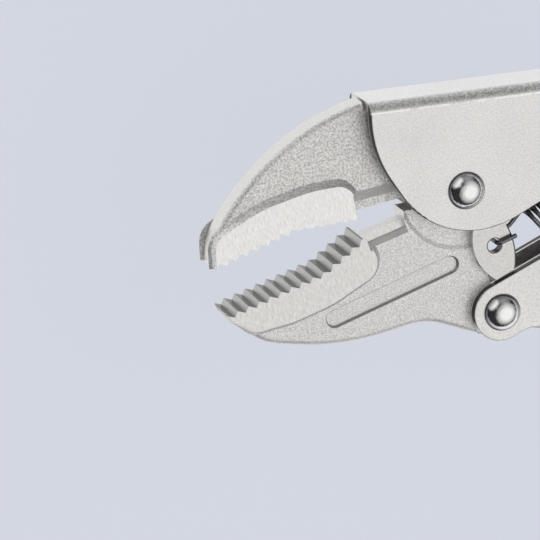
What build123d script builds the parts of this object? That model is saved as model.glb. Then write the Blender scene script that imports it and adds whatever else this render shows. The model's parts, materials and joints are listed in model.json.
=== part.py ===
from build123d import *
import os
from math import atan2, cos, degrees, dist, pi, radians, sin, sqrt

# Locking grip pliers of the 250 mm class, in millimetres.
# They lie flat: jaws at -X, handles along +X, pivot axes along Z, the lowest rivet heads on Z = 0.
# Outlines are drawn from the main pivot, with x to the rear and y from the lower to the upper handle.

# Overall
tool_length = 250.0
jaw_reach = 63.5

# Pressed sheet handles
sheet = 2.4
channel_width = 11.0
bend_radius = 3.0
handle_width = channel_width + 2 * sheet
half_width = handle_width / 2
half_channel = channel_width / 2

# Jaw thicknesses and the side play of the moving jaw in the handles
jaw_thickness = 7.4
land_thickness = 11.6
side_play = 0.1
tail_thickness = channel_width - 2 * side_play

# The lower handle is the narrower one: its cheeks lie on the jaw's own thickness
lower_channel = jaw_thickness + 2 * side_play
lower_width = lower_channel + 2 * sheet

# Rivets
pivot_shank = 6.5
pivot_head = 9.0
pivot_head_height = 3.0
link_shank = 5.5
link_head = 8.0
link_head_height = 2.4
lever_shank = 4.5
lever_head = 7.0
lever_head_height = 1.9
tang_rivet_d = 5.0
tang_rivet_head = 7.4
tang_sink = (tang_rivet_head - tang_rivet_d) / 2
head_rim = 0.5
running_clearance = 0.05

# Pivots of the toggle, seen from the main pivot
hand_pivot = (8.7, -32.2)
toggle_arm = 33.0
over_centre = 0.8
link_seat_x = 100.0

# Upper handle
handle_top = 24.0
handle_front = -23.1
nose_corner = (-23.1, 11.8)
nose_low = (-5.4, -16.6)
belly_corner = (36.0, 2.7)
nose_front_radius = 29.0
nose_low_radius = 22.4
belly_radius = 40.0
droop_angle = 9.0
droop_start = 28.0
droop_radius = 250.0
mouth_end = 42.0
sleeve_start = 57.0
sleeve_end = 86.0
seam_width = 0.8
spring_pin = (55.0, 14.0)
spring_pin_d = 3.5

# Adjusting screw
thread_play = 0.08
tip_gap = 1.6
link_end_radius = 4.6
tip_round = 1.6
thread_shown = 9.0
knob_step = 0.1
knob_round = 2.2
neck_round = 1.0

# Upper jaw
shoulder_gap = 0.5
jaw_top = 23.6
back_mid = (-44.8, 14.1)
back_end = (-60.6, -2.6)
tip_low = (-62.6, -12.6)
upper_teeth_front = (-62.2, -11.7)
upper_teeth_bend = (-41.5, -4.9)
upper_teeth_rear = (-27.1, -4.4)
land_rear = -27.1
upper_land_low = -16.0
upper_land_lip = -4.7
land_brow_share = 229 / 364
land_brow_height = 1.5
land_crown_share = 109 / 364
land_crown_height = 4.3
upper_land_top = 4.7
upper_land_sweep = 30.0
land_corner = 4.5
land_foot = 0.6
land_foot_slope = 0.7
boss_radius = 9.5
boss_gap = 0.4
tang_end = 27.5
tang_set_back = 3.5
tang_chamfer = 1.0
tang_rivet_at = (21.5, 15.6)
edge_round = 1.5
land_slope_upper = 1.0
land_slope_lower = 0.9

# Lower jaw
lower_teeth_front = (-60.4, -23.2)
lower_teeth_bend = (-36.0, -15.9)
lower_teeth_rear = (-26.2, -9.1)
lower_land_top = (-60.4, -17.0)
lower_land_lip = (-60.0, -23.9)
lower_land_chin = (-53.4, -28.4)
lower_land_belly = (-44.0, -27.1)
lower_land_rise = (-34.0, -24.1)
lower_land_heel = (-22.9, -18.3)
lower_land_back = (-22.25, -14.2)
lower_land_peak = (-27.2, -5.5)
lower_land_sweep = 20.0
land_lip_round = 3.0
land_chin_round = 4.0
jaw_dip = (-10.0, -32.4)
jaw_belly = (-32.0, -36.0)
jaw_chin = (-51.0, -32.2)
jaw_lip = (-60.2, -24.4)
jaw_lip_top = (-60.6, -20.5)
jaw_dip_round = 14.0
jaw_belly_round = 60.0
jaw_chin_round = 14.0
jaw_lip_round = 4.0
jaw_trim = 24.0
cutter_wall_top = -4.3
ear_thickness = 2.5
ear_top_angle = -39.0
ear_bulge = (12.5, -14.8)
ear_tip_angle = 238.0
ear_corner = (12.7, -21.8)
ear_corner_round = 0.8
lug_radius = 7.2
spring_hole = (7.6, -15.4)
spring_hole_d = 3.6
recess_front = (-33.0, -28.5)
recess_rear = (-3.4, -19.2)
recess_width = 4.6
recess_depth = 0.8
recess_slope = 25.0
spot_radius = 15.7
spot_depth = 0.4
spot_slope = 68.0
ear_arc_centre = (14.5, -13.5)
ear_arc_radius = 12.5

# Saw teeth
tooth_pitch = 2.9
tooth_depth = 1.2
scallop_depth = 0.6

# Wire cutter behind the teeth
cutter_thickness = 3.5
cutter_height = 2.0
cutter_slope_upper = 3.0
cutter_slope_lower = 1.1
upper_cutter_front = (-27.1, -3.0)
lower_cutter_front = (-24.8, -9.45)
lower_cutter_rear = (-14.5, -6.5)

# Lower handle
eye_radius = 7.3
link_lug = 6.3
bow_low = (115.0, -47.0)
bow_radius = 505.0
grip_end = 168.0
web_front = 24.0
grip_edge_front = (60.0, -22.3)
grip_edge_rear = (150.0, -29.3)
bow_start = 16.0
eye_run_off = -58.0
grip_round = 12.0
grip_edge_round = 3.0
rim_round = 0.4

# Toggle link and release lever
link_play = 0.3
link_sheet = 2.0
link_eye = 5.8
lever_pivot = (72.0, -31.0)
lever_sheet = 1.8
lever_throat = (58.0, -29.0)
lever_nose_low = (52.5, -20.5)
lever_nose_top = (55.5, -18.6)
lever_neck = (66.0, -25.4)
lever_back = (100.0, -26.0)
lever_crown = (138.0, -21.0)
lever_tail_top = (153.0, -23.5)
lever_tail_low = (152.0, -27.5)
lever_under_tail = (136.0, -26.5)
lever_under = (100.0, -32.5)
lever_heel_rear = (80.0, -37.5)
lever_heel = (66.0, -37.0)
lever_nose_round = 1.2
lever_neck_round = 10.0
lever_sweep = 60.0
lever_crown_round = 40.0
lever_tail_round = 1.8
lever_heel_round = 8.0

# Opening spring
wire_d = 1.1
coil_d = 7.2
coil_turns = 22
coil_pitch = 1.62
coil_start = (19.2, -11.9)
wire_gap = 0.35
wire_lift = 0.15
hook_bend = 1.3
hook_end = (12.9, -13.4)
hook_exit = (12.4, -14.1)
hook_depth = 2.2
hook_shift = 0.9

# The tool's own frame: origin under the middle of the outline, on the lowest rivet heads
rear_reach = tool_length - jaw_reach
pivot_x = (jaw_reach - rear_reach) / 2
pivot_y = -(handle_top + bow_low[1]) / 2
mid_height = half_width + pivot_head_height
tool = Plane(origin=(pivot_x, pivot_y, mid_height))
channel_depth = handle_top - nose_low[1] + 2 * sheet


def at(x, y, z=0.0):
    """Give the place of a point drawn from the main pivot."""
    return tool.from_local_coords(Vector(x, y, z))


def level(z):
    """Give the drawing plane at a height above the tool's middle plane."""
    return tool.offset(z)


def polar(centre, radius, angle):
    """Give a point at a radius and an angle in degrees about a centre."""
    return (centre[0] + radius * cos(radians(angle)), centre[1] + radius * sin(radians(angle)))


def between(a, b, share):
    """Give the point at a share of the way from a to b."""
    return (a[0] + (b[0] - a[0]) * share, a[1] + (b[1] - a[1]) * share)


def angle_of(a, b):
    """Give the direction from a to b in degrees."""
    return degrees(atan2(b[1] - a[1], b[0] - a[0]))


def keep(builder, name):
    """Label a finished piece and write it."""
    builder.part.label = name
    export_step(builder.part, f"parts/{name}.step")


# Rear of the upper handle: the top turns down by the droop angle and then runs straight.
# The screw's axis lies half a handle width under that straight top.
droop = radians(droop_angle)
rear_dir = (cos(droop), -sin(droop))
rear_up = (sin(droop), cos(droop))
droop_end = (droop_start + droop_radius * sin(droop), handle_top - droop_radius * (1 - cos(droop)))
axis_start = (droop_end[0] - half_width * rear_up[0], droop_end[1] - half_width * rear_up[1])


def on_axis(along, up=0.0):
    """Give the point at a distance along the screw's axis and above it."""
    return (
        axis_start[0] + along * rear_dir[0] + up * rear_up[0],
        axis_start[1] + along * rear_dir[1] + up * rear_up[1],
    )


def across_axis(along):
    """Give the plane square to the screw's axis, its y pointing up."""
    origin = at(*on_axis(along))
    return Plane(origin=origin, x_dir=(0, 0, -1), z_dir=(rear_dir[0], rear_dir[1], 0))


# Toggle: the lower handle's arm and the link lie almost in line when the tool is locked.
link_seat = (link_seat_x - axis_start[0]) / rear_dir[0]
link_rear = on_axis(link_seat)
lock_angle = angle_of(hand_pivot, link_rear)
link_pivot = polar(hand_pivot, toggle_arm, lock_angle + over_centre)
link_angle = angle_of(link_pivot, link_rear)
link_length = dist(link_pivot, link_rear)

# Screw lengths along its axis
screw_tip = link_seat + link_end_radius + tip_gap
knob_start = sleeve_end + thread_shown
knob_d = handle_width - 2 * knob_step
knob_end = (rear_reach - axis_start[0] - knob_d / 2 * sin(droop)) / rear_dir[0]
thread_d = channel_width - 2 * thread_play

os.makedirs("parts", exist_ok=True)


# Saw teeth
def saw(first, last, depth, notch_share, side):
    """Give a row of teeth from one tip to another, with notches on the given side of the tip line."""
    count = max(1, round(dist(first, last) / tooth_pitch))
    turn = angle_of(first, last) + 90 * side
    points = [first]
    for i in range(count):
        low = between(first, last, (i + notch_share) / count)
        points.append(polar(low, depth, turn))
        points.append(between(first, last, (i + 1) / count))
    return points


# Upper handle: a channel pressed from sheet, open below, whose rear end is rolled round the screw
bottom_rear = on_axis(mouth_end, -half_width)
with BuildPart() as upper_blank:
    with BuildSketch(tool):
        with BuildLine():
            nose = FilletPolyline(
                (handle_front, handle_top + sheet),
                nose_corner,
                nose_low,
                belly_corner,
                bottom_rear,
                radius=[nose_front_radius, nose_low_radius, belly_radius],
            )
            Polyline(
                nose @ 1,
                on_axis(mouth_end, half_width + sheet),
                (droop_end[0], handle_top + sheet),
                nose @ 0,
            )
        make_face()
    extrude(amount=half_width, both=True)
    rim = upper_blank.faces().filter_by(Axis.Z).edges()
    fillet(rim.filter_by(lambda e: e.center().X < at(*bottom_rear).X - sheet), rim_round)

with BuildPart() as upper_handle:
    with BuildLine(tool) as spine:
        Line((handle_front - sheet, handle_top), (droop_start, handle_top))
        ThreePointArc(
            (droop_start, handle_top),
            polar((droop_start, handle_top - droop_radius), droop_radius, 90 - droop_angle / 2),
            droop_end,
        )
        Line(droop_end, on_axis(mouth_end, half_width))
    start = at(handle_front - sheet, handle_top)
    with BuildSketch(Plane(origin=start, x_dir=(0, 0, -1), z_dir=(1, 0, 0))):
        with Locations((0, -channel_depth / 2)):
            outer = Rectangle(handle_width, channel_depth)
        fillet(outer.vertices().group_by(Axis.Y)[-1], bend_radius)
        with BuildLine():
            inner = FilletPolyline(
                (-half_channel, -channel_depth),
                (-half_channel, -sheet),
                (half_channel, -sheet),
                (half_channel, -channel_depth),
                radius=bend_radius - sheet,
            )
            Line(inner @ 1, inner @ 0)
        make_face(mode=Mode.SUBTRACT)
    sweep(path=spine.wires()[0])
    add(upper_blank.part, mode=Mode.INTERSECT)
    # Rolled end: the section turns from the channel's outline into a round sleeve
    with BuildSketch(across_axis(mouth_end)):
        block = Rectangle(handle_width, handle_width)
        fillet(block.vertices().group_by(Axis.Y)[-1], bend_radius)
        fillet(block.vertices().group_by(Axis.Y)[0], bend_radius - sheet)
    with BuildSketch(across_axis(sleeve_start)):
        Circle(half_width)
    loft()
    with BuildSketch(across_axis(sleeve_start)):
        Circle(half_width)
    extrude(amount=sleeve_end - sleeve_start)
    with BuildSketch(across_axis(mouth_end)):
        with Locations((0, -sheet)):
            hollow = Rectangle(channel_width, handle_width)
        fillet(hollow.vertices(), bend_radius - sheet)
    with BuildSketch(across_axis(sleeve_start)):
        Circle(half_channel)
    loft(mode=Mode.SUBTRACT)
    with BuildSketch(across_axis(sleeve_start)):
        Circle(half_channel)
    extrude(amount=sleeve_end - sleeve_start, mode=Mode.SUBTRACT)
    # Round end of the channel's mouth and the seam where the rolled edges meet
    under = Plane(
        origin=at(*on_axis(mouth_end)),
        x_dir=(rear_dir[0], rear_dir[1], 0),
        z_dir=(-rear_up[0], -rear_up[1], 0),
    )
    with BuildSketch(under):
        Circle(half_channel)
        with Locations(((sleeve_end - mouth_end) / 2, 0)):
            Rectangle(sleeve_end - mouth_end, seam_width)
    extrude(amount=handle_width, mode=Mode.SUBTRACT)
    # Holes for the main rivet, the tang rivet and the spring's pin
    with BuildSketch(tool):
        Circle(pivot_shank / 2)
        with Locations(tang_rivet_at):
            Circle(tang_rivet_d / 2)
        with Locations(spring_pin):
            Circle(spring_pin_d / 2)
    extrude(amount=half_width, both=True, mode=Mode.SUBTRACT)
    for side in (1, -1):
        with BuildSketch(level(side * half_width)):
            with Locations(tang_rivet_at):
                Circle(tang_rivet_head / 2)
        extrude(amount=-side * tang_sink, taper=45, mode=Mode.SUBTRACT)
keep(upper_handle, "upper_handle")


# Jaws: shared shaping
def land_spread(slope):
    """Give how far a land's edge spreads from its ground face to the end of its foot."""
    rise = (land_thickness - jaw_thickness) / 2
    return slope * (1 - land_foot / rise) + land_foot_slope


def ground_lands(outline, slope):
    """Raise a ground land on both faces of a jaw, its edge sloping down to the forged face."""
    rise = (land_thickness - jaw_thickness) / 2
    for side in (1, -1):
        with BuildSketch(level(side * land_thickness / 2)) as land:
            with BuildLine():
                outline()
            make_face()
        extrude(land.sketch, amount=-side * rise, taper=-degrees(atan2(slope, rise)))
        with BuildSketch(level(side * (jaw_thickness / 2 + land_foot))) as foot:
            with BuildLine():
                outline()
            make_face()
            offset(amount=land_spread(slope) - land_foot_slope)
        extrude(foot.sketch, amount=-side * land_foot, taper=-degrees(atan2(land_foot_slope, land_foot)))


def thin_edge(front, rear, run, side):
    """Thin a jaw on both faces towards its cutting edge, which runs from front to rear."""
    along = radians(angle_of(front, rear))
    inward = (-side * sin(along), side * cos(along), 0)
    plane = Plane(origin=at(*front), x_dir=inward, z_dir=(cos(along), sin(along), 0))
    for face in (1, -1):
        with BuildSketch(plane) as wedge:
            with BuildLine():
                Polyline(
                    (-2 * cutter_height, face * cutter_thickness / 2),
                    (cutter_height, face * cutter_thickness / 2),
                    (cutter_height + run, face * jaw_thickness / 2),
                    (cutter_height + run, face * land_thickness / 2),
                    (-2 * cutter_height, face * land_thickness / 2),
                    close=True,
                )
            make_face()
        extrude(wedge.sketch, amount=dist(front, rear), mode=Mode.SUBTRACT)


def cut_teeth(rows, beyond):
    """Cut the rows of teeth through the whole jaw, up to a point on the open side."""
    points = [point for row in rows for point in row]
    points = [p for i, p in enumerate(points) if i == 0 or p != points[i - 1]]
    with BuildSketch(tool) as gap:
        with BuildLine():
            Polyline(*points, (points[-1][0], beyond), (points[0][0] - tooth_pitch, beyond),
                     (points[0][0] - tooth_pitch, points[0][1]), close=True)
        make_face()
    extrude(gap.sketch, amount=land_thickness, both=True, mode=Mode.SUBTRACT)


# Upper jaw: a forging whose tang fills the front of the upper channel over the moving jaw's boss
tang_top = handle_top - sheet
arch_radius = boss_radius + boss_gap
arch_start = polar((0, 0), arch_radius, 184.4)
shoulder = handle_front - shoulder_gap
land_front = land_spread(land_slope_upper) - jaw_reach
mouth_length = jaw_reach + land_rear
upper_land_brow = (land_rear - land_brow_share * mouth_length, land_brow_height)
upper_land_crown = (land_rear - land_crown_share * mouth_length, land_crown_height)
upper_rows = [
    saw(upper_teeth_front, upper_teeth_bend, tooth_depth, 0.4, 1),
    saw(upper_teeth_bend, upper_teeth_rear, scallop_depth, 0.5, 1),
    [(land_rear + 2 * land_slope_upper, upper_teeth_rear[1])],
]


def upper_land():
    """Draw the ground land of the upper jaw."""
    edge = FilletPolyline(
        (land_front, upper_land_low),
        (land_front, upper_land_lip),
        upper_land_brow,
        upper_land_crown,
        (land_rear, upper_land_top),
        (land_rear, upper_land_low),
        radius=[land_corner, upper_land_sweep, upper_land_sweep, land_corner],
    )
    Line(edge @ 1, edge @ 0)


with BuildPart() as upper_jaw:
    with BuildSketch(tool):
        with BuildLine():
            back = ThreePointArc((shoulder, jaw_top), back_mid, back_end)
            tip = TangentArc(back @ 1, tip_low, tangent=back % 1)
            Polyline(
                tip @ 1,
                (land_rear, upper_teeth_rear[1] - tooth_depth),
                upper_cutter_front,
                arch_start,
            )
            ThreePointArc(arch_start, polar((0, 0), arch_radius, 137), (0, arch_radius))
            Polyline(
                (0, arch_radius),
                (tang_end, arch_radius),
                (tang_end, tang_top),
                (shoulder, tang_top),
                (shoulder, jaw_top),
            )
        make_face()
    extrude(amount=jaw_thickness / 2, both=True)
    rim = upper_jaw.edges().filter_by(GeomType.CIRCLE).filter_by(lambda e: e.radius > arch_radius)
    fillet(rim, edge_round)
    ground_lands(upper_land, land_slope_upper)
    cut_teeth(upper_rows, 2 * tip_low[1])
    thin_edge(upper_cutter_front, arch_start, cutter_slope_upper, 1)
    # The tang is as thick as the channel, set back from the handle's front edge
    with BuildSketch(tool):
        with BuildLine():
            Polyline(
                (0, arch_radius),
                (tang_end, arch_radius),
                (tang_end, tang_top),
                (shoulder + tang_set_back, tang_top),
                (shoulder + tang_set_back, nose_corner[1]),
                arch_start,
            )
            ThreePointArc(arch_start, polar((0, 0), arch_radius, 137), (0, arch_radius))
        make_face()
    extrude(amount=half_channel, both=True)
    chamfer(upper_jaw.edges().filter_by(Axis.X).sort_by(SortBy.LENGTH)[-2:], tang_chamfer)
    with BuildSketch(tool):
        with Locations(tang_rivet_at):
            Circle(tang_rivet_d / 2)
    extrude(amount=half_channel, both=True, mode=Mode.SUBTRACT)
keep(upper_jaw, "upper_jaw")


# Lower jaw: a forging with a flat tail that turns on the main rivet inside the upper channel
lower_rows = [
    saw(lower_teeth_front, lower_teeth_bend, tooth_depth, 0.6, -1),
    saw(lower_teeth_bend, lower_teeth_rear, tooth_depth, 0.5, -1),
    [(lower_cutter_front[0], lower_teeth_rear[1])],
]


def lower_land():
    """Draw the ground land of the lower jaw."""
    edge = FilletPolyline(
        lower_land_top,
        lower_land_lip,
        lower_land_chin,
        lower_land_belly,
        lower_land_rise,
        lower_land_heel,
        lower_land_back,
        lower_land_peak,
        radius=[
            land_lip_round,
            land_chin_round,
            lower_land_sweep,
            lower_land_sweep,
            land_corner,
            land_corner,
        ],
    )
    Line(edge @ 1, edge @ 0)


def ear_outline():
    """Draw the ear below the main pivot: two arcs that end in a blunt tip above the handle's cheek."""
    left_top = polar(ear_arc_centre, ear_arc_radius, 160)
    tip = polar(ear_arc_centre, ear_arc_radius, ear_tip_angle)
    right_top = polar((0, 0), boss_radius, ear_top_angle)
    ThreePointArc(left_top, polar(ear_arc_centre, ear_arc_radius, 200), tip)
    Line(tip, ear_corner)
    ThreePointArc(ear_corner, ear_bulge, right_top)
    Polyline(right_top, (0, 0), left_top)


with BuildPart() as lower_jaw:
    with BuildSketch(tool) as lower_side:
        with BuildLine():
            lug_low = polar(hand_pivot, lug_radius, -112)
            front = FilletPolyline(
                lug_low,
                jaw_dip,
                jaw_belly,
                jaw_chin,
                jaw_lip,
                jaw_lip_top,
                radius=[jaw_dip_round, jaw_belly_round, jaw_chin_round, jaw_lip_round],
            )
            Polyline(
                front @ 1,
                (lower_teeth_bend[0], lower_teeth_bend[1] + tooth_depth),
                (lower_teeth_rear[0], lower_teeth_rear[1] + tooth_depth),
                (lower_cutter_front[0], lower_teeth_rear[1]),
                lower_cutter_front,
                lower_cutter_rear,
                (lower_cutter_rear[0], cutter_wall_top),
                polar((0, 0), boss_radius, 205),
                (0, 0),
                hand_pivot,
                lug_low,
            )
        make_face()
        Circle(boss_radius)
        with Locations(hand_pivot):
            Circle(lug_radius)
    extrude(amount=jaw_thickness / 2, both=True)
    belly = lower_jaw.edges().filter_by(Plane.XY).filter_by(lambda e: e.center().Y < at(0, -27.5).Y)
    fillet(belly.filter_by(lambda e: e.center().X < at(-5, 0).X), edge_round)
    ground_lands(lower_land, land_slope_lower)
    # Trim the land's foot flush with the jaw's outline at the chin
    with BuildSketch(tool):
        with Locations(jaw_chin):
            Rectangle(jaw_trim, jaw_trim)
        add(lower_side.sketch_local, mode=Mode.SUBTRACT)
    extrude(amount=land_thickness, both=True, mode=Mode.SUBTRACT)
    cut_teeth(lower_rows, 0.0)
    thin_edge(lower_cutter_front, lower_cutter_rear, cutter_slope_lower, -1)
    # Shallow spot faces round the main pivot, then the boss, as thick as the channel allows
    for side in (1, -1):
        with BuildSketch(level(side * jaw_thickness / 2)):
            Circle(spot_radius)
        extrude(amount=-side * spot_depth, taper=spot_slope, mode=Mode.SUBTRACT)
    with BuildSketch(tool):
        Circle(boss_radius)
    extrude(amount=tail_thickness / 2, both=True)
    # Thin ear on the upper face, level with the boss, that overhangs the neck and takes the spring's hook
    with BuildSketch(level(tail_thickness / 2)) as ear:
        with BuildLine():
            ear_outline()
        make_face()
        fillet(ear.vertices().sort_by(Axis.X)[-1], ear_corner_round)
    extrude(amount=-ear_thickness)
    # Bores for the two pivots and the hole that takes the spring's hook
    with BuildSketch(tool):
        Circle(pivot_shank / 2 + running_clearance)
        with Locations(hand_pivot):
            Circle(pivot_shank / 2 + running_clearance)
        with Locations(spring_hole):
            Circle(spring_hole_d / 2)
    extrude(amount=tail_thickness / 2, both=True, mode=Mode.SUBTRACT)
    # Bare obround recess on the upper face
    with BuildSketch(level(jaw_thickness / 2)):
        with Locations(between(recess_front, recess_rear, 0.5)):
            SlotCenterToCenter(
                dist(recess_front, recess_rear), recess_width, rotation=angle_of(recess_front, recess_rear)
            )
    extrude(amount=-recess_depth, taper=recess_slope, mode=Mode.SUBTRACT)
keep(lower_jaw, "lower_jaw")


# Lower handle: a channel open above, with two cheeks that reach forward round the jaw's tail
bow_centre = (bow_low[0], bow_low[1] + bow_radius)


def on_bow(x):
    """Give the point of the lower handle's outer line at a distance to the rear of the main pivot."""
    return (x, bow_centre[1] - sqrt(bow_radius**2 - (x - bow_centre[0]) ** 2))


bow_front = on_bow(bow_start)
bow_rear = on_bow(grip_end)
with BuildPart() as lower_blank:
    # Side outline: an eye round the jaw's lower pivot, a lug for the link and the long grip
    with BuildSketch(tool) as side_view:
        with Locations(hand_pivot):
            Circle(eye_radius)
        with Locations(link_pivot):
            Circle(link_lug)
        make_hull()
        with BuildLine():
            bow = ThreePointArc(bow_front, bow_low, bow_rear)
            Polyline(
                bow @ 1,
                (grip_end, grip_edge_rear[1]),
                grip_edge_rear,
                grip_edge_front,
                polar(link_pivot, link_lug - 1, lock_angle),
                hand_pivot,
                polar(hand_pivot, eye_radius, eye_run_off),
                bow @ 0,
            )
        make_face()
        rear = side_view.vertices().sort_by(Axis.X)[-2:].sort_by(Axis.Y)
        fillet(rear[0], grip_round)
        fillet(rear[1], grip_edge_round)
    extrude(amount=lower_width / 2, both=True)
    fillet(lower_blank.faces().filter_by(Axis.Z).edges(), rim_round)

with BuildPart() as lower_handle:
    with BuildLine(tool) as spine:
        ThreePointArc(on_bow(web_front), bow_low, on_bow(grip_end + sheet))
    start = on_bow(web_front)
    run = Vector(bow_centre[1] - start[1], start[0] - bow_centre[0], 0).normalized()
    with BuildSketch(Plane(origin=at(*start), x_dir=(0, 0, -1), z_dir=run)):
        with Locations((0, channel_depth / 2)):
            outer = Rectangle(lower_width, channel_depth)
        fillet(outer.vertices().group_by(Axis.Y)[0], bend_radius)
        with BuildLine():
            inner = FilletPolyline(
                (-lower_channel / 2, channel_depth),
                (-lower_channel / 2, sheet),
                (lower_channel / 2, sheet),
                (lower_channel / 2, channel_depth),
                radius=bend_radius - sheet,
            )
            Line(inner @ 1, inner @ 0)
        make_face(mode=Mode.SUBTRACT)
    sweep(path=spine.wires()[0])
    # Cheeks in front of the web
    for side in (1, -1):
        with BuildSketch(level(side * lower_channel / 2)):
            with Locations((start[0] - run.X * channel_depth / 2, start[1] - run.Y * channel_depth / 2)):
                Rectangle(channel_depth, 2 * channel_depth, rotation=degrees(atan2(run.Y, run.X)))
        extrude(amount=side * sheet)
    add(lower_blank.part, mode=Mode.INTERSECT)
    with BuildSketch(tool):
        with Locations(hand_pivot):
            Circle(pivot_shank / 2)
        with Locations(link_pivot):
            Circle(link_shank / 2)
        with Locations(lever_pivot):
            Circle(lever_shank / 2)
    extrude(amount=lower_width / 2, both=True, mode=Mode.SUBTRACT)
keep(lower_handle, "lower_handle")


# Toggle link: a strut pressed to a trough, with an eye in front and a rounded seat for the screw's tip
link_width = lower_channel - 2 * link_play
with BuildPart() as toggle_link:
    with BuildSketch(tool):
        with Locations(link_pivot):
            Circle(link_eye)
        with Locations(link_rear):
            Circle(link_end_radius)
        make_hull()
    extrude(amount=link_width / 2, both=True)
    with BuildSketch(tool):
        with Locations(polar(link_pivot, link_length / 2 - link_eye, link_angle)):
            Rectangle(link_length - link_sheet, 2 * link_eye, rotation=link_angle)
        with Locations(link_pivot):
            Circle(2 * link_eye)
    extrude(amount=link_width / 2 - link_sheet, both=True, mode=Mode.SUBTRACT)
    with BuildSketch(tool):
        with Locations(link_pivot):
            Circle(link_shank / 2 + running_clearance)
    extrude(amount=link_width / 2, both=True, mode=Mode.SUBTRACT)
keep(toggle_link, "toggle_link")


# Release lever: a trough open below, whose nose lifts the link when its tail is pressed
with BuildPart() as release_lever:
    lever_width = lower_channel - 2 * link_play
    with BuildSketch(tool) as lever_side:
        with BuildLine():
            top = FilletPolyline(
                lever_throat,
                lever_nose_low,
                lever_nose_top,
                lever_neck,
                lever_back,
                lever_crown,
                lever_tail_top,
                lever_tail_low,
                lever_under_tail,
                lever_under,
                lever_heel_rear,
                lever_heel,
                radius=[
                    lever_nose_round,
                    lever_nose_round,
                    lever_neck_round,
                    lever_sweep,
                    lever_crown_round,
                    lever_tail_round,
                    lever_tail_round,
                    lever_crown_round,
                    lever_sweep,
                    lever_heel_round,
                ],
            )
            Line(top @ 1, top @ 0)
        make_face()
    extrude(amount=lever_width / 2, both=True)
    with Locations((0, -lever_sheet, 0)):
        add(extrude(lever_side.sketch, amount=lever_width / 2 - lever_sheet, both=True, mode=Mode.PRIVATE),
            mode=Mode.SUBTRACT)
    with BuildSketch(tool):
        with Locations(lever_pivot):
            Circle(lever_shank / 2 + running_clearance)
    extrude(amount=lever_width / 2, both=True, mode=Mode.SUBTRACT)
keep(release_lever, "release_lever")


# Adjusting screw: turned about its axis, with a round tip that the link bears on
screw_plane = Plane(origin=at(*axis_start), x_dir=(rear_dir[0], rear_dir[1], 0), z_dir=(0, 0, 1))
with BuildPart() as adjusting_screw:
    with BuildSketch(screw_plane):
        with BuildLine():
            profile = FilletPolyline(
                (screw_tip, 0),
                (screw_tip, thread_d / 2),
                (knob_start, thread_d / 2),
                (knob_start, knob_d / 2),
                (knob_end, knob_d / 2),
                (knob_end, 0),
                radius=[tip_round, neck_round, neck_round, knob_round],
            )
            Line(profile @ 1, profile @ 0)
        make_face()
    revolve(axis=Axis(screw_plane.origin, screw_plane.x_dir))
keep(adjusting_screw, "adjusting_screw")


# Rivets and pins
def domed_rivet(centre, reach, shank, head, height):
    """Set a rivet through a handle whose walls reach this far from the middle, with a low dome on each."""
    with BuildSketch(tool) as round_shank:
        with Locations(centre):
            Circle(shank / 2)
    extrude(round_shank.sketch, amount=reach, both=True)
    for side in (1, -1):
        with BuildSketch(Plane(origin=at(*centre), x_dir=(1, 0, 0), z_dir=(0, -side, 0))) as dome:
            with BuildLine():
                Polyline(
                    (0, reach + height),
                    (0, reach),
                    (head / 2, reach),
                    (head / 2, reach + head_rim),
                )
                TangentArc((0, reach + height), (head / 2, reach + head_rim), tangent=(1, 0))
            make_face()
        revolve(dome.sketch, axis=Axis(at(*centre), (0, 0, 1)))


with BuildPart() as main_pivot_rivet:
    domed_rivet((0, 0), half_width, pivot_shank, pivot_head, pivot_head_height)
keep(main_pivot_rivet, "main_pivot_rivet")

with BuildPart() as hand_pivot_rivet:
    domed_rivet(hand_pivot, lower_width / 2, pivot_shank, pivot_head, pivot_head_height)
keep(hand_pivot_rivet, "hand_pivot_rivet")

with BuildPart() as link_rivet:
    domed_rivet(link_pivot, lower_width / 2, link_shank, link_head, link_head_height)
keep(link_rivet, "link_rivet")

with BuildPart() as lever_rivet:
    domed_rivet(lever_pivot, lower_width / 2, lever_shank, lever_head, lever_head_height)
keep(lever_rivet, "lever_rivet")

with BuildPart() as tang_rivet:
    with BuildSketch(tool):
        with Locations(tang_rivet_at):
            Circle(tang_rivet_d / 2)
    extrude(amount=half_width - tang_sink, both=True)
    for side in (1, -1):
        with BuildSketch(level(side * half_width)):
            with Locations(tang_rivet_at):
                Circle(tang_rivet_head / 2)
        extrude(amount=-side * tang_sink, taper=45)
keep(tang_rivet, "tang_rivet")

with BuildPart() as spring_post:
    with BuildSketch(tool):
        with Locations(spring_pin):
            Circle(spring_pin_d / 2)
    extrude(amount=half_width, both=True)
keep(spring_post, "spring_pin")


# Opening spring: one wire, from its hook through the jaw's tail, along the coil and round the pin
coil_angle = angle_of(coil_start, spring_pin)
coil_radius = (coil_d - wire_d) / 2
pin_hook = spring_pin_d / 2 + wire_gap + wire_d / 2
hook_rise = tail_thickness / 2 + wire_lift + wire_d / 2
hook_at = polar(spring_hole, hook_shift, coil_angle)
coil_way = Vector(*polar((0, 0), 1, coil_angle), 0)
coil_up = Vector(*polar((0, 0), 1, coil_angle + 90), 0)
viewer = Vector(0, 0, 1)
front_way = (Vector(*hook_end) - Vector(*hook_at)).normalized()
back_way = (Vector(*hook_exit) - Vector(*hook_at)).normalized()


def biarc(p0, t0, p1, t1):
    """Join two points by two arcs that keep the direction at both ends and where they meet."""
    v = p1 - p0
    slack = 2 * (1 - t0.dot(t1))
    pull = v.dot(t0 + t1)
    reach = (sqrt(pull**2 + slack * v.dot(v)) - pull) / slack
    middle = (p0 + p1 + (t0 - t1) * reach) / 2
    turn = (p1 - t1 * reach - p0 - t0 * reach).normalized()
    TangentArc(p0, middle, tangent=t0)
    TangentArc(middle, p1, tangent=turn)


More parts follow.
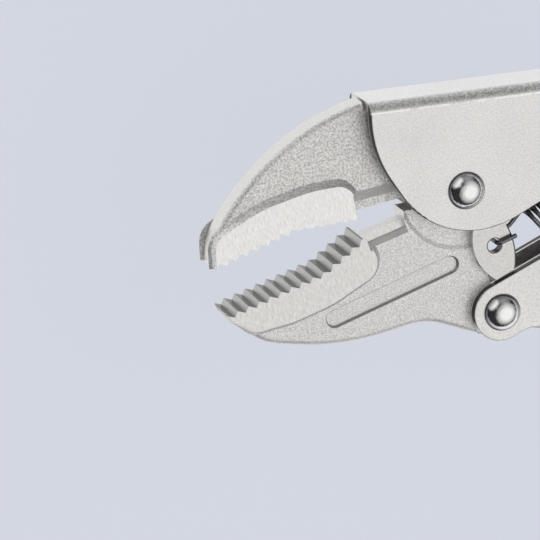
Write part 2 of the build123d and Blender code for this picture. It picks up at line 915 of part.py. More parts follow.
def on_coil(halves):
    """Give the place on the coil's middle line after a number of half turns."""
    turn = pi * halves
    spot = coil_way * (coil_pitch * halves / 2) + coil_up * (coil_radius * cos(turn))
    return at(*coil_start) + spot + viewer * (coil_radius * sin(turn))


def coil_heading(halves):
    """Give the wire's direction after a number of half turns."""
    return (coil_way * coil_pitch / (2 * pi) + viewer * (coil_radius * cos(pi * halves))).normalized()


def round_pin(angle):
    """Give a place on the rear hook, by its angle from the coil's axis."""
    return at(*polar(spring_pin, pin_hook, coil_angle + angle))


with BuildPart() as opening_spring:
    with BuildLine() as wire:
        free_end = at(*hook_end, hook_rise)
        front_turn = at(*hook_at, hook_rise) + front_way * hook_bend
        hole_front = at(*hook_at, hook_rise - hook_bend)
        hole_back = at(*hook_at, hook_bend - hook_depth)
        back_turn = at(*hook_at, -hook_depth) + back_way * hook_bend
        leave = at(*hook_exit, -hook_depth)
        Line(free_end, front_turn)
        TangentArc(front_turn, hole_front, tangent=front_way * -1)
        Line(hole_front, hole_back)
        TangentArc(hole_back, back_turn, tangent=viewer * -1)
        Line(back_turn, leave)
        biarc(leave, back_way, on_coil(0), coil_heading(0))
        for half in range(2 * coil_turns):
            biarc(on_coil(half), coil_heading(half), on_coil(half + 1), coil_heading(half + 1))
        biarc(on_coil(2 * coil_turns), coil_heading(2 * coil_turns), round_pin(90), coil_way)
        ThreePointArc(round_pin(90), round_pin(0), round_pin(-90))
        ThreePointArc(round_pin(-90), round_pin(-112), round_pin(-135))
    with BuildSketch(Plane(origin=free_end, z_dir=front_way * -1)):
        Circle(wire_d / 2)
    sweep(path=wire.wires()[0])
keep(opening_spring, "opening_spring")

# Least gap of the wire to itself, measured on points along its middle line
line = wire.wires()[0]
steps = round(line.length / (wire_d / 2))
spots = [tuple(line.position_at(i / steps)) for i in range(steps + 1)]
skip = round(4 * wire_d / (wire_d / 2))
least = min(dist(a, b) for i, a in enumerate(spots) for b in spots[i + skip:])
print(f"least gap of the spring to itself {least - wire_d:.2f} mm")
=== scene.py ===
import bmesh
import bpy
import json
import numpy as np
from mathutils import Matrix


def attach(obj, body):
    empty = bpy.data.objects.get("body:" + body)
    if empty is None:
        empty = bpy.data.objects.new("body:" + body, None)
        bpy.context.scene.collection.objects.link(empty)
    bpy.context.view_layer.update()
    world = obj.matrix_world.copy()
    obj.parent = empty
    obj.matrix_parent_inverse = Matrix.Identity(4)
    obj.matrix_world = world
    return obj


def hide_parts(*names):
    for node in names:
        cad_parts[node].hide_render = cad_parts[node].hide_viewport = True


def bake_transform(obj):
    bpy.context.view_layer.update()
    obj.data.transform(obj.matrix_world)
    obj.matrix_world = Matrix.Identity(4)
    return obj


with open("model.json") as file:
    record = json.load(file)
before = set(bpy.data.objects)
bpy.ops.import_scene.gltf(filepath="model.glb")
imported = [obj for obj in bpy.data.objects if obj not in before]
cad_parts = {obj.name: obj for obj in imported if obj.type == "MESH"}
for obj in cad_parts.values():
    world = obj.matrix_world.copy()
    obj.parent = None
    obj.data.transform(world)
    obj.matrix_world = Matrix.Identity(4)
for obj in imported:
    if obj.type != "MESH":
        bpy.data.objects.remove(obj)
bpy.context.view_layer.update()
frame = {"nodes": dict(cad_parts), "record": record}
scene = bpy.context.scene
joints = {joint["name"]: joint for joint in frame["record"]["behaviour"]["joints"]}
main_pivot = np.array(joints["jaw_pivot"]["pos_m"])
hand_pivot = np.array(joints["handle_pivot"]["pos_m"])
screw_way = np.array(joints["screw_slide"]["axis"], float)
upright = np.array([0.0, 0.0, 1.0])


def place(x, y, z=0.0):
    """A point given in millimetres from the main pivot, as its place in the frame in metres."""
    return main_pivot + np.array([x, y, z]) * 0.001


# Sizes in metres, with half thicknesses counted from the tool's middle plane
half_width = 0.0079
half_land = 0.0058
half_ear = 0.0054
head_radius = 0.0045
wire_radius = 0.00055

# Places on the moving jaw, and lines across it by their reach from the main pivot
recess_front, recess_rear, recess_radius = place(-33.0, -28.5), place(-3.4, -19.2), 0.0023
ear_front_centre, ear_front_radius = place(14.5, -13.5), 0.0125
ear_rear_centre, ear_rear_radius = place(-4.54, -18.79), 0.0171
ear_rear_line = 0.0105
spring_hole, hole_rim_radius = place(7.6, -15.4), 0.002
teeth_front_line, teeth_top_line = 0.0255, -0.01
tail_rear_line, tail_bottom_line = 0.003, 0.008

# Wire cutters: the way along the edge, and the reach from the main pivot along it, across it and across its slope
upper_cutter = {
    "along": (0.9917, 0.1288),
    "ends": (-0.0271, -0.01),
    "sides": (0.0024, 0.0056),
    "slope": (0.0024, 0.0056),
}
lower_cutter = {
    "along": (0.9613, 0.2756),
    "ends": (-0.0269, -0.0152),
    "sides": (-0.0055, 0.002),
    "slope": (-0.0055, -0.0042),
}

# Painted shade on edges, in seams and in hollows, from the darkest, then painted highlights
painted_seam_shade = (0.06, 0.058, 0.055)
tail_edge_shade = (0.09, 0.088, 0.085)
ear_edge_shade = (0.1, 0.098, 0.095)
tooth_flat_shade = (0.11, 0.11, 0.107)
hole_rim_shade = (0.12, 0.118, 0.115)
head_foot_shade = (0.13, 0.13, 0.128)
recess_shade = (0.48, 0.475, 0.46)
tooth_flank_shade = (0.5, 0.495, 0.48)
cutter_slope_highlight = (0.97, 0.96, 0.94)
painted_crease_highlight = (1.0, 1.0, 0.99)


# Node helpers
def add_node(tree, kind, **values):
    """Add a shader node and set its properties, or its inputs by name."""
    node = tree.nodes.new(kind)
    for key, value in values.items():
        if hasattr(node, key):
            setattr(node, key, value)
        else:
            node.inputs[key].default_value = value
    return node


def feed(tree, term, target):
    """Give an input what another node puts out, or a plain number, vector or colour."""
    if isinstance(term, bpy.types.NodeSocket):
        tree.links.new(term, target)
    elif target.type == "RGBA":
        target.default_value = (*term, 1.0)
    else:
        target.default_value = term


def arithmetic(tree, operation, *terms):
    """One step of arithmetic on numbers."""
    node = add_node(tree, "ShaderNodeMath", operation=operation)
    for term, target in zip(terms, node.inputs):
        feed(tree, term, target)
    return node.outputs["Value"]


def vector_step(tree, operation, *terms):
    """One step of arithmetic on vectors, which gives a number for a dot product or a length."""
    node = add_node(tree, "ShaderNodeVectorMath", operation=operation)
    for term, target in zip(terms, node.inputs):
        feed(tree, term, target)
    return node.outputs["Value" if operation in ("DOT_PRODUCT", "LENGTH") else "Vector"]


def lift(tree, vector):
    """The part of a vector that stands square to the tool's middle plane."""
    parts = add_node(tree, "ShaderNodeSeparateXYZ")
    feed(tree, vector, parts.inputs["Vector"])
    return parts.outputs["Z"]


def product(tree, first, *others):
    """Product of masks."""
    for other in others:
        first = arithmetic(tree, "MULTIPLY", first, other)
    return first


def larger(tree, first, *others):
    """The largest of some masks."""
    for other in others:
        first = arithmetic(tree, "MAXIMUM", first, other)
    return first


def opposite(tree, mask):
    """One where a mask is zero, and zero where it is one."""
    return arithmetic(tree, "SUBTRACT", 1.0, mask)


def ramp(tree, source, low, high, at_low=0.3, at_high=0.7):
    """Two-colour ramp of a value: low at at_low, high at at_high."""
    node = add_node(tree, "ShaderNodeValToRGB")
    for element, colour, at in zip(node.color_ramp.elements, (low, high), (at_low, at_high)):
        element.position = at
        element.color = (*colour, 1.0)
    feed(tree, source, node.inputs["Fac"])
    return node.outputs["Color"]


def span(tree, source, from_low, from_high, to_low=0.0, to_high=1.0):
    """Carry a value linearly from one range to another, held at the ends."""
    node = add_node(tree, "ShaderNodeMapRange")
    for key, term in (("Value", source), ("From Min", from_low), ("From Max", from_high),
                      ("To Min", to_low), ("To Max", to_high)):
        feed(tree, term, node.inputs[key])
    return node.outputs["Result"]


def mixed(tree, factor, low, high):
    """Blend of two colours by a factor."""
    node = add_node(tree, "ShaderNodeMix", data_type="RGBA")
    for slot, term in ((0, factor), (6, low), (7, high)):
        feed(tree, term, node.inputs[slot])
    return node.outputs[2]


def graded(tree, factor, low, high):
    """Blend of two numbers by a factor."""
    node = add_node(tree, "ShaderNodeMix", data_type="FLOAT")
    for slot, term in ((0, factor), (2, low), (3, high)):
        feed(tree, term, node.inputs[slot])
    return node.outputs[0]


def grain(tree, where, scale, detail, stretch=(1.0, 1.0, 1.0), turn=0.0):
    """Noise over a surface, at a scale per metre, stretched along the axes and turned in the tool's plane."""
    mapping = add_node(tree, "ShaderNodeMapping", vector_type="TEXTURE", Scale=stretch)
    mapping.inputs["Rotation"].default_value = (0.0, 0.0, np.radians(turn))
    feed(tree, where, mapping.inputs["Vector"])
    noise = add_node(tree, "ShaderNodeTexNoise", Scale=scale, Detail=detail)
    feed(tree, mapping.outputs["Vector"], noise.inputs["Vector"])
    return noise.outputs["Fac"]


def bump(tree, shader, height, distance):
    """Bump a shader's normal by a height field, with the relief in metres."""
    node = add_node(tree, "ShaderNodeBump", Strength=1.0, Distance=distance)
    feed(tree, height, node.inputs["Height"])
    feed(tree, node.outputs["Normal"], shader.inputs["Normal"])


def blank_metal(name, roughness):
    """A metal material with its shader, and the place of a surface point from Object coordinates."""
    material = bpy.data.materials.new(name)
    material.use_nodes = True
    tree = material.node_tree
    shader = tree.nodes["Principled BSDF"]
    shader.inputs["Metallic"].default_value = 1.0
    shader.inputs["Roughness"].default_value = roughness
    where = add_node(tree, "ShaderNodeTexCoord").outputs["Object"]
    return material, tree, shader, where


# Masks: one on the part of a surface that they are named for, and zero elsewhere
def look(tree):
    """The way that a face of the mesh looks."""
    return add_node(tree, "ShaderNodeTexCoord").outputs["Normal"]


def height_from_middle(tree, where):
    """Distance of a surface point from the tool's middle plane."""
    return arithmetic(tree, "ABSOLUTE", arithmetic(tree, "SUBTRACT", lift(tree, where), float(main_pivot[2])))


def steepness(tree, low=0.2, high=0.45):
    """One on a wall that stands upright and zero on a flat one, by the size of the normal's upright part."""
    return span(tree, arithmetic(tree, "ABSOLUTE", lift(tree, look(tree))), low, high, 1.0, 0.0)


def facing(tree, way, low=0.8, high=0.9):
    """One on faces that look along a way, on either side of the tool's middle plane: the dot product of the way
    and the normal, whose upright part is taken without its sign."""
    normal = look(tree)
    level = vector_step(tree, "DOT_PRODUCT", normal, (way[0], way[1], 0.0))
    flat = arithmetic(tree, "ABSOLUTE", lift(tree, normal))
    return span(tree, arithmetic(tree, "MULTIPLY_ADD", flat, way[2], level), low, high)


def beyond(tree, where, way, start, fade=0.0003):
    """One beyond a line across the tool: where the reach from the main pivot along a way is more than start."""
    reach = vector_step(tree, "DOT_PRODUCT", where, (*way, 0.0))
    line = float(np.dot(way, main_pivot[:2])) + start
    return span(tree, reach, line, line + fade)


def inside(tree, where, way, low, high):
    """One between two lines square to a way, at distances low and high from the main pivot."""
    back = (-way[0], -way[1])
    return product(tree, beyond(tree, where, way, low), beyond(tree, where, back, -high))


def within(tree, where, centre, radius, fade):
    """One within a radius of a point in the tool's plane, falling to zero over a fade further out."""
    away = vector_step(tree, "SUBTRACT", where, centre)
    level = vector_step(tree, "MULTIPLY", away, (1.0, 1.0, 0.0))
    return span(tree, vector_step(tree, "LENGTH", level), radius, radius + fade, 1.0, 0.0)


def recess_foot(tree, where):
    """One along the wall of the obround recess in the upper face: where the distance to the line between its two
    end centres is close to the radius."""
    run = recess_rear - recess_front
    length = float(np.linalg.norm(run))
    way = run / length
    away = vector_step(tree, "SUBTRACT", where, recess_front)
    reach = vector_step(tree, "DOT_PRODUCT", away, way)
    nearest = vector_step(tree, "MULTIPLY", way, span(tree, reach, 0.0, length, 0.0, length))
    level = vector_step(tree, "MULTIPLY", vector_step(tree, "SUBTRACT", away, nearest), (1.0, 1.0, 0.0))
    distance = vector_step(tree, "LENGTH", level)
    return product(
        tree,
        span(tree, distance, recess_radius - 0.0005, recess_radius - 0.0003),
        span(tree, distance, recess_radius, recess_radius + 0.0001, 1.0, 0.0),
        span(tree, lift(tree, away), 0.001, 0.0015),
    )


# Finishes
def satin_nickel(name, low, high, roughness, scale, relief):
    """Satin plate: fine grain in colour and relief, with broad clouding of the gloss."""
    material, tree, shader, where = blank_metal(name, roughness)
    fine = grain(tree, where, scale, 3.0)
    cloud = grain(tree, where, scale / 40.0, 2.0)
    feed(tree, ramp(tree, fine, low, high), shader.inputs["Base Color"])
    feed(tree, span(tree, cloud, 0.3, 0.7, roughness - 0.05, roughness + 0.05), shader.inputs["Roughness"])
    bump(tree, shader, fine, relief)
    return material


def crease_highlight_mask(tree, where, height, crease):
    """Where a painted highlight lies along the start of the bend: a narrow strip on the cheeks at a height above the
    main pivot, which ends behind the pivot and comes and goes with a coarse noise."""
    half_strip, rear_end = 0.00035, 0.026
    return product(
        tree,
        inside(tree, where, (0.0, 1.0), crease - half_strip, crease + half_strip),
        beyond(tree, where, (-1.0, 0.0), -rear_end),
        span(tree, grain(tree, where, 500.0, 2.0), 0.35, 0.5),
        span(tree, height, half_width - 0.0004, half_width - 0.0003),
    )


def pressed_sheet(name, low, edge_from, web, pivot, crease=None):
    """Satin sheet that was cut and bent, with a painted highlight on the web and mottled painted shade along the
    bends, which look half to the side and half to the web. It has painted shade close round the rivet head and on
    the cut edges, which are steep walls further than edge_from from the middle plane that don't look to the web's
    side. A painted highlight along a crease is given by the crease's height."""
    material, tree, shader, where = blank_metal(name, 0.35)
    height = height_from_middle(tree, where)
    fine = grain(tree, where, 2600.0, 3.0)
    colour = ramp(tree, fine, (low, low * 0.985, low * 0.957), (0.88, 0.87, 0.85))
    # Painted highlight for the web's flat face
    web_highlight = ramp(tree, fine, (0.84, 0.835, 0.82), (1.0, 0.995, 0.98))
    # Mottled painted shade for the bends
    mottled_bend_shade = ramp(tree, grain(tree, where, 1900.0, 4.0), (0.46, 0.453, 0.44), (0.92, 0.91, 0.89), 0.34, 0.68)
    bend = facing(tree, (0.0, web * 0.707, 0.707), 0.84, 0.98)
    # Mask of the cut edges, which take painted shade
    cut = product(
        tree,
        span(tree, height, edge_from, edge_from + 0.0002),
        steepness(tree, 0.55, 0.85),
        opposite(tree, facing(tree, (0.0, web, 0.0), 0.2, 0.4)),
    )
    layers = [
        # Painted highlight on the web
        (facing(tree, (0.0, web, 0.0), 0.95, 0.99), web_highlight),
        # Mottled painted shade along the bends
        (bend, mottled_bend_shade),
        # Painted shade on the cut edges and close round the rivet head
        (cut, painted_seam_shade),
        (within(tree, where, pivot, head_radius, fade=0.0002), painted_seam_shade),
    ]
    # Painted highlight along the crease where the bend starts
    if crease:
        layers.append((crease_highlight_mask(tree, where, height, crease), painted_crease_highlight))
    for mask, shade in layers:
        colour = mixed(tree, mask, colour, shade)
    cloud = span(tree, grain(tree, where, 65.0, 2.0), 0.3, 0.7, 0.3, 0.4)
    feed(tree, colour, shader.inputs["Base Color"])
    feed(tree, graded(tree, bend, cloud, 0.55), shader.inputs["Roughness"])
    bump(tree, shader, fine, 0.00002)
    return material


def mark_moving_jaw(tree, where, height, slope, colour):
    """Marks of the moving jaw, laid over its colour in turn: the satin ear, painted shade on the tooth flanks and
    darker painted shade on the tooth flats, a painted highlight on the cutter's slope, and painted shade on the
    tail's edges, round the spring's hole, along the ear's rear edge and at the foot of the recess. Gives the colour
    and the ear's mask."""
    satin = ramp(tree, grain(tree, where, 2600.0, 3.0), (0.6, 0.59, 0.57), (0.76, 0.75, 0.73))
    ear = product(
        tree,
        span(tree, height, half_ear - 0.0002, half_ear - 0.0001),
        within(tree, where, ear_front_centre, ear_front_radius, fade=0.0001),
    )
    teeth = product(
        tree,
        beyond(tree, where, (-1.0, 0.0), teeth_front_line),
        beyond(tree, where, (-0.25, 1.0), teeth_top_line),
    )
    tail = product(
        tree,
        beyond(tree, where, (1.0, 0.0), tail_rear_line),
        beyond(tree, where, (0.0, -1.0), tail_bottom_line),
    )
    # Mask of the ear's rear edge, which takes painted shade
    ear_rear = product(
        tree,
        ear,
        beyond(tree, where, (1.0, 0.0), ear_rear_line),
        opposite(tree, within(tree, where, ear_rear_centre, ear_rear_radius, fade=0.00015)),
    )
    for mask, shade in (
        (ear, satin),
        # Painted shade on the tooth flanks, and darker painted shade on the tooth flats
        (product(tree, teeth, steepness(tree)), tooth_flank_shade),
        (product(tree, teeth, facing(tree, (0.1, 0.99, 0.0))), tooth_flat_shade),
        # Painted highlight on the cutter's slope
        (slope, cutter_slope_highlight),
        # Painted shade on the tail's steep edges
        (product(tree, tail, steepness(tree, 0.4, 0.8)), tail_edge_shade),
        # Painted shade round the spring's hole
        (product(tree, ear, within(tree, where, spring_hole, hole_rim_radius, fade=0.0001)), hole_rim_shade),
        # Painted shade along the ear's rear edge
        (ear_rear, ear_edge_shade),
        # Painted shade at the foot of the recess's wall
        (recess_foot(tree, where), recess_shade),
    ):
        colour = mixed(tree, mask, colour, shade)
    return colour, ear


def forged_nickel(name, low, scale, relief, cutter, pad_tone, moving):
    """Blasted forging with bright ground faces: the lands, where the surface lies at the land's height, the steep
    walls, and the cutter, whose slope is matt. The moving jaw has marks of its own: a satin ear, painted shade and a
    painted highlight."""
    material, tree, shader, where = blank_metal(name, 0.45)
    height = height_from_middle(tree, where)
    across = (-cutter["along"][1], cutter["along"][0])
    blade = inside(tree, where, cutter["along"], *cutter["ends"])
    strip = product(tree, blade, inside(tree, where, across, *cutter["sides"]))
    slope = product(tree, blade, inside(tree, where, across, *cutter["slope"]))
    pad = span(tree, height, half_land - 0.0003, half_land - 0.0001)
    smooth = larger(tree, pad, steepness(tree), strip)
    blasted = grain(tree, where, scale, 5.0)
    streaks = grain(tree, where, 3000.0, 3.0, stretch=(1.0, 4.5, 1.0), turn=12.0)
    pits = ramp(tree, blasted, low, (1.0, 0.99, 0.97), 0.35, 0.65)
    ground = ramp(tree, streaks, (pad_tone - 0.2, pad_tone - 0.21, pad_tone - 0.23),
                  (pad_tone, pad_tone - 0.01, pad_tone - 0.03))
    colour = mixed(tree, smooth, pits, ground)
    if moving:
        colour, ear = mark_moving_jaw(tree, where, height, slope, colour)
        smooth = larger(tree, smooth, ear)
    feed(tree, colour, shader.inputs["Base Color"])
    gloss = graded(tree, slope, span(tree, smooth, 0.0, 1.0, 0.46, 0.28), 0.68)
    feed(tree, gloss, shader.inputs["Roughness"])
    bump(tree, shader, graded(tree, smooth, blasted, span(tree, streaks, 0.0, 1.0, 0.4, 0.6)), relief)
    return material


def polished(name, colour, roughness):
    """Polished metal with faint clouding of its gloss and painted shade along the steep foot of a head."""
    material, tree, shader, where = blank_metal(name, roughness)
    haze = grain(tree, where, 900.0, 3.0)
    clouded = ramp(tree, haze, [c * 0.94 for c in colour], colour)
    # Painted shade on the steep foot of the head
    feed(tree, mixed(tree, steepness(tree, 0.56, 0.74), clouded, head_foot_shade), shader.inputs["Base Color"])
    feed(tree, span(tree, haze, 0.3, 0.7, roughness * 0.8, roughness * 1.3), shader.inputs["Roughness"])
    bump(tree, shader, grain(tree, where, 1300.0, 3.0), 0.00004)
    return material


def blued_wire(name):
    """Dark drawn wire: a near-black blue with fine drawing marks."""
    material, tree, shader, where = blank_metal(name, 0.3)
    marks = grain(tree, where, 2500.0, 2.0)
    feed(tree, ramp(tree, marks, (0.14, 0.142, 0.15), (0.26, 0.262, 0.27)), shader.inputs["Base Color"])
    bump(tree, shader, marks, 0.00001)
    return material


upper_sheet = pressed_sheet("satin_upper", low=0.68, edge_from=0.0059, web=1.0, pivot=main_pivot, crease=0.0216)
lower_sheet = pressed_sheet("satin_lower", low=0.66, edge_from=0.0043, web=-1.0, pivot=hand_pivot)
link_finish = satin_nickel(
    "satin_link", (0.48, 0.47, 0.45), (0.62, 0.61, 0.59), roughness=0.42, scale=2600.0, relief=0.000015)
screw_finish = satin_nickel(
    "turned_screw", (0.56, 0.55, 0.53), (0.72, 0.71, 0.69), roughness=0.33, scale=4200.0, relief=0.000008)
upper_finish = forged_nickel(
    "blasted_upper_jaw", (0.56, 0.55, 0.53), scale=2000.0, relief=0.0002,
    cutter=upper_cutter, pad_tone=0.93, moving=False)
# The moving jaw's ground faces take a darker pad_tone, which is painted shade
lower_finish = forged_nickel(
    "blasted_lower_jaw", (0.62, 0.61, 0.59), scale=3200.0, relief=0.00012,
    cutter=lower_cutter, pad_tone=0.82, moving=True)
rivet_finish = polished("polished_rivet", (0.94, 0.935, 0.92), roughness=0.09)
spring_finish = blued_wire("blued_spring")

finishes = {
    "upper_handle": upper_sheet,
    "lower_handle": lower_sheet,
    "tang_rivet": upper_sheet,
    "spring_pin": upper_sheet,
    "upper_jaw": upper_finish,
    "lower_jaw": lower_finish,
    "toggle_link": link_finish,
    "release_lever": link_finish,
    "adjusting_screw": screw_finish,
    "main_pivot_rivet": rivet_finish,
    "hand_pivot_rivet": rivet_finish,
    "link_rivet": rivet_finish,
    "lever_rivet": rivet_finish,
    "opening_spring": spring_finish,
}
for node_name, finish in finishes.items():
    mesh = frame["nodes"][node_name].data
    mesh.materials.clear()
    mesh.materials.append(finish)


# New pieces
def unit(v):
    """Vectors scaled to length one."""
    return v / np.linalg.norm(v, axis=-1, keepdims=True)


def show(name, points, finish):
    """Make an object from a grid of points: rows along the piece, columns round it, the last joined to the first.
    A row whose points fall together is welded into one point, which closes that end."""
    rows, columns = points.shape[:2]
    row, column = np.meshgrid(np.arange(rows - 1), np.arange(columns), indexing="ij")
    after = (column + 1) % columns
    quads = np.stack((row * columns + column, row * columns + after, (row + 1) * columns + after,
                      (row + 1) * columns + column), axis=-1).reshape(-1, 4)
    mesh = bpy.data.meshes.new(name)
    mesh.from_pydata(points.reshape(-1, 3), [], quads)
    weld = bmesh.new()
    weld.from_mesh(mesh)
    bmesh.ops.remove_doubles(weld, verts=weld.verts, dist=1e-7)
    weld.to_mesh(mesh)
    weld.free()
    mesh.polygons.foreach_set("use_smooth", np.ones(len(mesh.polygons), dtype=bool))
    mesh.materials.append(finish)
    piece = bpy.data.objects.new(name, mesh)
    scene.collection.objects.link(piece)
    return piece


def hermite(p0, t0, p1, t1, pull, count):
    """Smooth joining line: a cubic that leaves p0 along t0 and reaches p1 along t1, with one pull for both ends."""
    s = np.linspace(0.0, 1.0, count)[:, None]
    h00, h01 = 2 * s**3 - 3 * s**2 + 1, 3 * s**2 - 2 * s**3
    h10, h11 = s**3 - 2 * s**2 + s, s**3 - s**2
    return h00 * p0 + h10 * pull * t0 + h01 * p1 + h11 * pull * t1


def straight(p0, p1, count):
    """Points spread evenly from p0 to p1."""
    return p0 + (p1 - p0) * np.linspace(0.0, 1.0, count)[:, None]


def swing(centre, arm_a, arm_b, low, high, count):
    """Arc about a centre: centre + arm_a cos t + arm_b sin t, with t in degrees."""
    t = np.radians(np.linspace(low, high, count))[:, None]
    return centre + arm_a * np.cos(t) + arm_b * np.sin(t)


def wound_spring():
    """The wire as a tube: a ring of fixed radius carried along hook, coil and hook. The coil is the helix
    c + a p t + r (u cos 2 pi t + w sin 2 pi t); the ring starts on the side that faces the coil's axis. The rear
    hook is an arc round the pin."""
    pin, coil_start = place(55.0, 14.0), place(19.2, -11.9)
    hook_end, hook_exit = place(12.9, -13.4), place(12.4, -14.1)
    turns, points_a_turn, pitch, coil_radius, loop_radius = 22, 44, 0.00162, 0.00305, 0.00265
    hook_shift, hook_rise, hook_depth, bend = 0.0009, 0.0061, 0.0022, 0.0013
    front_pull, rear_pull = 0.0095, 0.009
    cap_depth, cap_share, ring_points = 0.00012, 0.85, 16

    a, w = unit(pin - coil_start), upright
    u = np.cross(w, a)
    t = np.linspace(0.0, turns, turns * points_a_turn + 1)[:, None]
    out = u * np.cos(2 * np.pi * t) + w * np.sin(2 * np.pi * t)
    coil = coil_start + a * pitch * t + coil_radius * out
    coil_way = unit(a * pitch / (2 * np.pi) + coil_radius * w)
    loop_angle = np.radians(np.linspace(90.0, -135.0, 60))[:, None]
    loop_out = u * np.sin(loop_angle) + a * np.cos(loop_angle)

    # The front hook goes down through the ear's hole and leaves below the ear towards the coil
    hole = spring_hole + hook_shift * a
    above, below = hole + hook_rise * w, hole - hook_depth * w
    leave = hook_exit - hook_depth * w
    d1, d2 = unit(hook_end - hole), unit(hook_exit - hole)
    n1, n2 = np.cross(d1, w), np.cross(d2, w)

    # Each run of the path, with the ring's side at its start and end, or at each of its points
    runs = [
        (straight(hook_end + hook_rise * w, above + d1 * bend, 16), n1, n1),
        (swing(above + (d1 - w) * bend, w * bend, -d1 * bend, 0, 90, 16), n1, n1),
        (straight(above - w * bend, below + w * bend, 14), n1, n2),
        (swing(below + (d2 + w) * bend, -d2 * bend, -w * bend, 0, 90, 16), n2, n2),
        (straight(below + d2 * bend, leave, 14), n2, n2),
        (hermite(leave, d2, coil[0], coil_way, front_pull, 48), n2, -u),
        (coil, -out, None),
        (hermite(coil[-1], coil_way, pin + loop_radius * u, a, rear_pull, 48), -u, -u),
        (pin + loop_radius * loop_out, -loop_out, None),
    ]
    path = np.concatenate([run[0][:-1] for run in runs] + [runs[-1][0][-1:]])
    sides = []
    for points, first_side, last_side in runs:
        share = np.linspace(0.0, 1.0, len(points))[:, None]
        sides.append((first_side if last_side is None else first_side + (last_side - first_side) * share)[:-1])
    sides.append(sides[-1][-1:])
    way = unit(np.gradient(path, axis=0))
    side = np.concatenate(sides)
    side = unit(side - way * np.sum(side * way, axis=1, keepdims=True))
    other = np.cross(way, side)
    angle = np.linspace(0.0, 2 * np.pi, ring_points, endpoint=False)[:, None]
    rings = side[:, None] * np.cos(angle) + other[:, None] * np.sin(angle)
    tube = path[:, None] + wire_radius * rings
    shrink = np.array([0.0, cap_share])[:, None, None]
    start_caps = path[0] + wire_radius * rings[0] * shrink - way[0] * cap_depth
    end_caps = path[-1] + wire_radius * rings[-1] * shrink[::-1] + way[-1] * cap_depth
    piece = show("wound_spring", np.concatenate((start_caps, tube, end_caps)), spring_finish)
    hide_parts("opening_spring")
    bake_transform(piece)


def saw_wave(x):
    """Triangle wave between 0 and 1 with period one: 0 at whole numbers, 1 half-way between them."""
    return 1.0 - np.abs(2.0 * (x - np.floor(x)) - 1.0)


def rise(distance, length):
    """Straight rise from 0 to 1 over a length, held at the ends."""
    return np.clip(distance / length, 0.0, 1.0)


def rounding(distance, radius):
    """What a rounded end takes off a piece, at a distance d inside that end: r - r sqrt(1 - (1 - d / r)^2)."""
    return radius * (1.0 - np.sqrt(1.0 - (1.0 - rise(distance, radius)) ** 2))


def threaded_screw():
    """Turned screw: radius as a function of the distance along the axis and the angle round it. The thread takes a
    triangle wave of (distance / pitch - angle / 2 pi) off the shank; the knurl takes two crossed waves off the knob.
    The distance starts where the upper handle's droop ends."""
    shank_radius, knob_radius, columns = 0.00542, 0.0078, 144
    link_seat, link_end_radius, tip_gap = 0.03455, 0.0046, 0.0016
    axis_start, rear_reach = 0.065873, 0.1865
    tip_round, knob_front_round, knob_rear_round = 0.0016, 0.001, 0.0022
    thread_pitch, thread_depth, thread_fade = 0.0015, 0.00075, 0.001
    thread_from_tip, thread_to_knob = 0.0025, 0.0016
    knurl_ridges, knurl_pitch, knurl_depth, knurl_fade = 36, 0.0014, 0.00038, 0.0006
    knurl_from_front, knurl_to_rear = 0.0028, 0.0042

    screw_side = np.array([-screw_way[1], screw_way[0], 0.0])
    start = place(67.109, 20.922) - half_width * screw_side
    tip, knob = link_seat + link_end_radius + tip_gap, 0.095
    end = (rear_reach - axis_start + knob_radius * screw_way[1]) / screw_way[0]

    # Rows along the axis: the tip's rounding, the shank, the knob's front edge, the knob and its rear rounding
    s = np.concatenate((
        np.linspace(tip, tip + tip_round, 8),
        np.linspace(tip + 0.0018, knob - 0.0006, 250),
        np.linspace(knob - 0.0004, knob + 0.0014, 14),
        np.linspace(knob + 0.0016, end - 0.0026, 110),
        np.linspace(end - 0.0024, end, 14),
    ))[:, None]
    angle = np.linspace(0.0, 2 * np.pi, columns, endpoint=False)[None, :]
    around = angle / (2 * np.pi)
    threaded = rise(s - tip - thread_from_tip, thread_fade) * rise(knob - thread_to_knob - s, thread_fade)
    shank = shank_radius - rounding(s - tip, tip_round)
    shank = shank - thread_depth * threaded * saw_wave(s / thread_pitch - around)
    knurled = rise(s - knob - knurl_from_front, knurl_fade) * rise(end - knurl_to_rear - s, knurl_fade)
    crossed = np.maximum(saw_wave(knurl_ridges * around + s / knurl_pitch),
                         saw_wave(knurl_ridges * around - s / knurl_pitch))
    cap = knob_radius - rounding(s - knob, knob_front_round) - rounding(end - s, knob_rear_round)
    cap = cap - knurl_depth * knurled * crossed
    closed = np.zeros((1, columns))
    radius = np.concatenate((closed, np.where(s < knob, shank, cap), closed))[..., None]
    along = np.concatenate((s[:1], s, s[-1:]))[..., None]
    out = np.cos(angle)[..., None] * screw_side + np.sin(angle)[..., None] * upright
    piece = show("threaded_screw", start + along * screw_way + radius * out, screw_finish)
    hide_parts("adjusting_screw")
    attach(piece, "screw_body")


wound_spring()
threaded_screw()

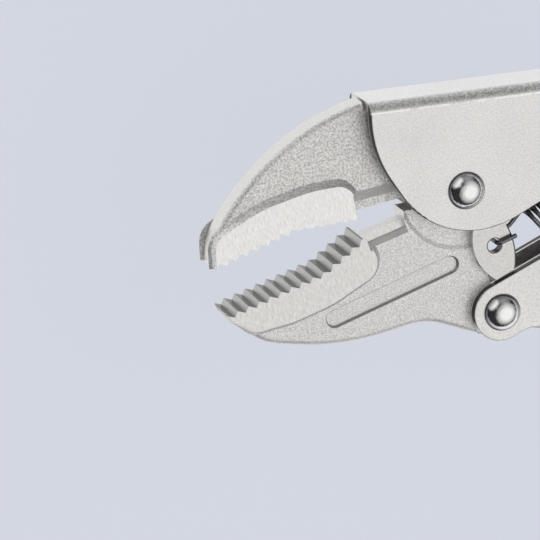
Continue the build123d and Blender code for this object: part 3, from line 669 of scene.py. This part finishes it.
# Pale paper floor, which shows its own tint to the camera and white to the metal, and keeps some shadow
floor_reach, floor_level, glow_share = 3.0, -0.06, 0.8
corners = [(-1, -1), (1, -1), (1, 1), (-1, 1)]
floor_mesh = bpy.data.meshes.new("floor")
floor_mesh.from_pydata([(x * floor_reach, y * floor_reach, floor_level) for x, y in corners], [], [(0, 1, 2, 3)])
floor = bpy.data.objects.new("floor", floor_mesh)
scene.collection.objects.link(floor)
paper = bpy.data.materials.new("pale_paper")
paper.use_nodes = True
paper_tree = paper.node_tree
paper_shader = paper_tree.nodes["Principled BSDF"]
paper_shader.inputs["Base Color"].default_value = (0.72, 0.75, 0.84, 1.0)
paper_shader.inputs["Roughness"].default_value = 0.9
rays = add_node(paper_tree, "ShaderNodeLightPath").outputs
pale = add_node(paper_tree, "ShaderNodeEmission", Strength=1.0)
tint = mixed(paper_tree, rays["Is Camera Ray"], (1.0, 1.0, 1.0), (0.71, 0.74, 0.82))
feed(paper_tree, tint, pale.inputs["Color"])
shown = larger(paper_tree, rays["Is Camera Ray"], rays["Is Glossy Ray"], rays["Is Transmission Ray"])
blend = add_node(paper_tree, "ShaderNodeMixShader")
feed(paper_tree, product(paper_tree, shown, glow_share), blend.inputs["Fac"])
feed(paper_tree, paper_shader.outputs["BSDF"], blend.inputs[1])
feed(paper_tree, pale.outputs["Emission"], blend.inputs[2])
feed(paper_tree, blend.outputs["Shader"], paper_tree.nodes["Material Output"].inputs["Surface"])
floor_mesh.materials.append(paper)

# Soft studio surroundings: a broad box overhead, a small one beside the jaws and a dim one past the upper handle, in
# a dark room with a low pale wall
world = bpy.data.worlds.new("studio")
scene.world = world
world.use_nodes = True
sky = world.node_tree
background = sky.nodes["Background"]
direction = add_node(sky, "ShaderNodeTexCoord").outputs["Generated"]


def soft_box(way, dim, bright, low, high):
    """Glow of a box that stands along a way: a ramp of the dot product of that way and the direction looked in."""
    return ramp(sky, vector_step(sky, "DOT_PRODUCT", direction, way), dim, (bright, bright, bright), low, high)


dark = (0.0, 0.0, 0.0)
overhead = soft_box((0.36, -0.2, 0.911), (0.03, 0.03, 0.033), 0.95, 0.48, 0.9)
beside_jaws = soft_box((-0.68, 0.69, 0.25), dark, 0.9, 0.8, 0.93)
past_handle = soft_box((0.2, 0.93, 0.3), dark, 0.25, 0.75, 0.97)
glow = vector_step(sky, "ADD", vector_step(sky, "ADD", overhead, beside_jaws), past_handle)
low_wall = span(sky, lift(sky, direction), 0.085, 0.1, 1.0, 0.0)
feed(sky, mixed(sky, low_wall, glow, (0.645, 0.675, 0.75)), background.inputs["Color"])
background.inputs["Strength"].default_value = 1.0


def stand(thing, right, up, behind, spot):
    """Put a lamp or the camera at a spot, with its own three axes given as ways in the frame."""
    scene.collection.objects.link(thing)
    turn = np.column_stack((right, up, behind))
    thing.matrix_world = Matrix([[*row, p] for row, p in zip(turn, spot)] + [[0, 0, 0, 1]])


# Key light, which looks at the frame's origin
key_data = bpy.data.lights.new("key", "AREA")
key_data.shape = "RECTANGLE"
key_data.size, key_data.size_y = 1.2, 0.8
key_data.energy = 1.5
key = bpy.data.objects.new("key", key_data)
key.visible_glossy = False
key_spot = np.array([0.44, 0.44, 1.1])
key_behind = unit(key_spot)
key_right = unit(np.cross((0.0, 1.0, 0.0), key_behind))
stand(key, key_right, np.cross(key_behind, key_right), key_behind, key_spot)

# Camera at the photograph's viewing angle
camera_data = bpy.data.cameras.new("camera")
camera_data.sensor_width = 36.0
camera_data.lens = 224.0
camera = bpy.data.objects.new("camera", camera_data)
stand(
    camera,
    right=(0.95222, -0.05265, 0.30085),
    up=(0.13552, 0.95559, -0.26170),
    behind=(-0.27371, 0.28997, 0.91706),
    spot=place(-266.086, 216.350, 732.426),
)
scene.camera = camera

scene.view_settings.view_transform = "Standard"
